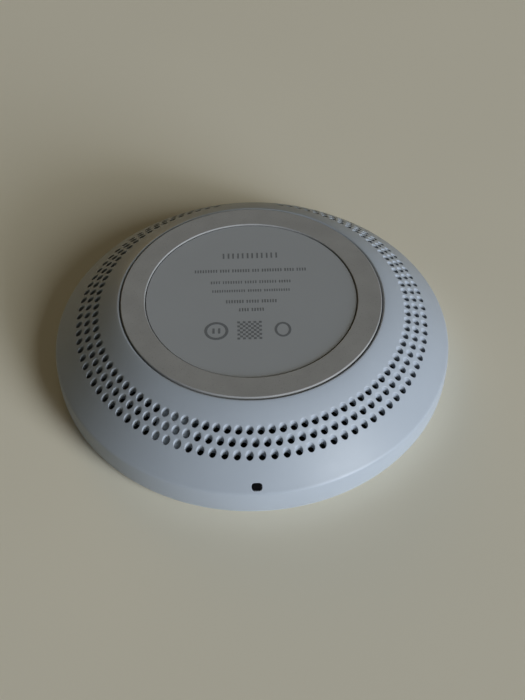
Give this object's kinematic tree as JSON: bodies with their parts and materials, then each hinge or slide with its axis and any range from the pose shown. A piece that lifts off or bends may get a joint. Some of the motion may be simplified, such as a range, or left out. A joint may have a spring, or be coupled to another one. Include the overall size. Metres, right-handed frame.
{
  "type": "wireless charging pad",
  "caption": "Round white wireless charging pad with a cooling fan, lying face down: flared case with vent holes round a rubber foot ring and a flush label plate, status window and cable socket.",
  "frame": {"origin": "middle of the charging face, on the plane that the face rests on in the pictured pose (pad face down)", "axes": "+Z out of the foot ring, away from the charging face; -Y towards the status window; +Y towards the cable socket. In use the pad stands on the foot ring, with -Z up: a half turn about X or Y"},
  "size_m": [0.1, 0.1, 0.021],
  "materials": {
    "case_plastic": "cool white moulded plastic with a fine satin texture",
    "cover_plastic": "cool white moulded plastic, satin",
    "grip_silicone": "matt pale grey silicone",
    "foot_rubber": "matt warm grey rubber with fine dust",
    "label_plastic": null,
    "tape": "double-sided foam tape",
    "smoked_window": "near-black smoked plastic",
    "lamp_resin": "clear yellowish lamp resin",
    "steel": "plated steel",
    "copper": null,
    "wire_sleeve": "black wire insulation",
    "ferrite": "dark sintered ferrite",
    "carrier_plastic": "black moulded plastic",
    "thermal_silicone": "soft blue-grey thermal pad",
    "chip_resin": "black moulding resin",
    "spreader_aluminium": "brushed sheet",
    "board_mask": "black solder mask over glass-fibre board",
    "capacitor_ceramic": "tan ceramic",
    "connector_nylon": "ivory nylon",
    "fan_plastic": "black glass-filled plastic",
    "bearing_bronze": "sintered bronze"
  },
  "bodies": {
    "housing": {"bottom_case": "case_plastic", "charging_cover": "cover_plastic", "grip_ring": "grip_silicone", "foot_ring": "foot_rubber", "foot_tape": "tape", "label_plate": "label_plastic", "label_tape": "tape", "status_window": "smoked_window", "status_led": "lamp_resin", "case_screw_1": "steel", "case_screw_2": "steel", "case_screw_3": "steel", "case_screw_4": "steel", "coil_winding": "copper", "coil_lead_1": "wire_sleeve", "coil_lead_2": "wire_sleeve", "ferrite_disc": "ferrite", "coil_carrier": "carrier_plastic", "thermal_pad": "thermal_silicone", "thermistor": "chip_resin", "heat_spreader": "spreader_aluminium", "main_board": "board_mask", "board_screw_1": "steel", "board_screw_2": "steel", "board_screw_3": "steel", "controller_chip": "chip_resin", "driver_chip": "chip_resin", "power_transistor_1": "chip_resin", "power_transistor_2": "chip_resin", "power_transistor_3": "chip_resin", "power_transistor_4": "chip_resin", "input_inductor": "ferrite", "input_capacitor": "capacitor_ceramic", "resonant_capacitor_1": "capacitor_ceramic", "resonant_capacitor_2": "capacitor_ceramic", "resonant_capacitor_3": "capacitor_ceramic", "usb_c_shell": "steel", "usb_c_tongue": "chip_resin", "fan_socket": "connector_nylon", "fan_lead": "wire_sleeve", "fan_frame": "fan_plastic", "fan_cover": "fan_plastic", "fan_bearing": "bearing_bronze", "fan_stator": "copper", "fan_screw_1": "steel", "fan_screw_2": "steel", "fan_screw_3": "steel"},
    "fan": {"fan_rotor": "fan_plastic", "rotor_magnet": "ferrite", "rotor_shaft": "steel"}
  },
  "joints": [
    {"name": "fan_spin", "type": "hinge", "parent": "housing", "child": "fan", "pos_m": [0, 0, 0.01], "axis": [0, 0, 1], "continuous": true}
  ]
}
